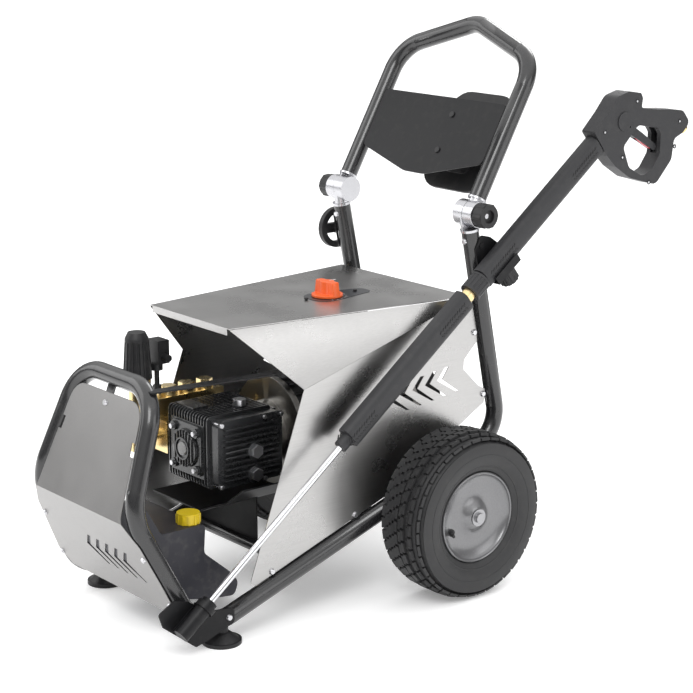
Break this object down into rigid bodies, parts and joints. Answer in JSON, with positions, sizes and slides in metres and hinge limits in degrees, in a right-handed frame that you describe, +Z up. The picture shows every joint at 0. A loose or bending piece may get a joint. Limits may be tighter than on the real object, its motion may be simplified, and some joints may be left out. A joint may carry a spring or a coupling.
{
  "type": "high-pressure cleaner",
  "caption": "High-pressure cleaner on a two-wheel tubular trolley: motor and plunger pump under a folded sheet hood, folding handle, front panel with tank, lance and gun in clips.",
  "frame": {"origin": "on the floor, under the middle of the machine's overall box", "axes": "+Z up, -Y to the front panel, +X to the side that carries the lance"},
  "size_m": [0.684, 1.3486, 1.0885],
  "materials": {
    "tube_black": "satin",
    "zinc": "brushed",
    "steel_dark": "satin",
    "stainless": "brushed",
    "panel_grey": "satin",
    "sheet_black": "satin",
    "motor_grey": "satin",
    "pump_grey": "satin",
    "cast_zinc": "cast",
    "brass": "satin",
    "ceramic": "polished",
    "black_plastic": "fine grain",
    "grey_plastic": "fine grain",
    "orange_plastic": "satin",
    "yellow_plastic": "satin",
    "red_plastic": "satin",
    "tank_plastic": "moulded",
    "tyre": "matte",
    "rim": "satin",
    "chrome": "polished",
    "fan_white": "plain",
    "label": "printed"
  },
  "bodies": {
    "trolley": {"front_hoop": "tube_black", "side_rail_left": "tube_black", "side_rail_right": "tube_black", "cross_tubes": "tube_black", "axle": "steel_dark", "feet": "black_plastic", "base_plate": "sheet_black", "front_panel": "panel_grey", "frame_fasteners": "zinc", "hood_top": "stainless", "side_panel_left": "stainless", "side_panel_right": "stainless", "hood_brace": "sheet_black", "switch_label": "label", "switch_body": "black_plastic", "motor_housing": "motor_grey", "motor_shields": "motor_grey", "fan_cover": "sheet_black", "motor_bearings": "chrome", "crankcase": "pump_grey", "crankcase_cover": "pump_grey", "bearing_cover": "pump_grey", "pump_screws": "zinc", "plungers": "ceramic", "pump_head": "brass", "valve_caps": "brass", "unloader_valve": "brass", "pressure_switch": "black_plastic", "detergent_tank": "tank_plastic", "lower_elbows": "cast_zinc", "lance_holder": "sheet_black", "lance_socket": "sheet_black", "cable_hook": "black_plastic"},
    "switch_dial": {"switch_knob": "orange_plastic"},
    "motor_rotor": {"rotor": "steel_dark", "motor_fan": "fan_white"},
    "regulator": {"regulator_knob": "black_plastic"},
    "detergent_cap": {"tank_cap": "yellow_plastic"},
    "handle": {"handle_tube": "tube_black", "upper_elbows": "cast_zinc", "handle_panel": "sheet_black", "hose_hook": "black_plastic"},
    "knob_left": {"elbow_knob_left": "black_plastic"},
    "knob_right": {"elbow_knob_right": "black_plastic"},
    "wheel_left": {"tyre_left": "tyre", "rim_left": "rim"},
    "wheel_right": {"tyre_right": "tyre", "rim_right": "rim"},
    "clamp_knob": {"holder_knob": "black_plastic"},
    "lance": {"lance_pipe": "chrome", "lance_nozzle": "steel_dark", "lance_nipple": "brass", "lance_sleeve": "grey_plastic", "gun_sleeve": "grey_plastic", "gun_shell_left": "grey_plastic", "gun_shell_right": "grey_plastic", "gun_valve": "brass"},
    "lance_nut": {"coupling_nut": "grey_plastic"},
    "trigger_lever": {"trigger": "grey_plastic"},
    "trigger_lock": {"trigger_latch": "red_plastic"}
  },
  "joints": [
    {"name": "wheel_left_spin", "type": "hinge", "parent": "trolley", "child": "wheel_left", "pos_m": [-0.281, 0.01951, 0.165], "axis": [1, 0, 0], "continuous": true},
    {"name": "wheel_right_spin", "type": "hinge", "parent": "trolley", "child": "wheel_right", "pos_m": [0.281, 0.01951, 0.165], "axis": [1, 0, 0], "continuous": true},
    {"name": "handle_fold", "type": "hinge", "parent": "trolley", "child": "handle", "pos_m": [0, 0.11151, 0.731], "axis": [1, 0, 0], "range_deg": [0, 120]},
    {"name": "left_elbow_knob_turn", "type": "hinge", "parent": "trolley", "child": "knob_left", "pos_m": [-0.238, 0.11151, 0.731], "axis": [1, 0, 0], "range_deg": [0, 360]},
    {"name": "right_elbow_knob_turn", "type": "hinge", "parent": "trolley", "child": "knob_right", "pos_m": [0.238, 0.11151, 0.731], "axis": [1, 0, 0], "range_deg": [0, 360]},
    {"name": "main_switch_turn", "type": "hinge", "parent": "trolley", "child": "switch_dial", "pos_m": [0.028, -0.11049, 0.585], "axis": [0, 0, 1], "range_deg": [0, 90]},
    {"name": "pressure_regulator_turn", "type": "hinge", "parent": "trolley", "child": "regulator", "pos_m": [-0.12, -0.45849, 0.47], "axis": [0, 0, 1], "range_deg": [0, 720]},
    {"name": "tank_cap_turn", "type": "hinge", "parent": "trolley", "child": "detergent_cap", "pos_m": [0.078, -0.48249, 0.207], "axis": [0, 0, 1], "range_deg": [0, 360]},
    {"name": "clamp_knob_turn", "type": "hinge", "parent": "trolley", "child": "clamp_knob", "pos_m": [0.24, 0.16898, 0.60957], "axis": [0, -0.6115, 0.7912], "range_deg": [0, 360]},
    {"name": "motor_spin", "type": "hinge", "parent": "trolley", "child": "motor_rotor", "pos_m": [0, -0.08049, 0.314], "axis": [0, 1, 0], "continuous": true},
    {"name": "lance_lift_out", "type": "slide", "parent": "trolley", "child": "lance", "axis": [0, 0.7912, 0.6115], "range_m": [0, 0.08]},
    {"name": "coupling_nut_turn", "type": "hinge", "parent": "lance", "child": "lance_nut", "pos_m": [0.24, 0.08676, 0.59658], "axis": [0, 0.7912, 0.6115], "range_deg": [0, 720]},
    {"name": "trigger_pull", "type": "hinge", "parent": "lance", "child": "trigger_lever", "pos_m": [0.24, 0.48799, 0.87382], "axis": [1, 0, 0], "range_deg": [0, 10], "stiffness_Nm_per_rad": 1.5, "springref_deg": -4.58},
    {"name": "trigger_lock_flip", "type": "hinge", "parent": "trigger_lever", "child": "trigger_lock", "pos_m": [0.24, 0.52834, 0.8494], "axis": [1, 0, 0], "range_deg": [-25, 0]}
  ]
}
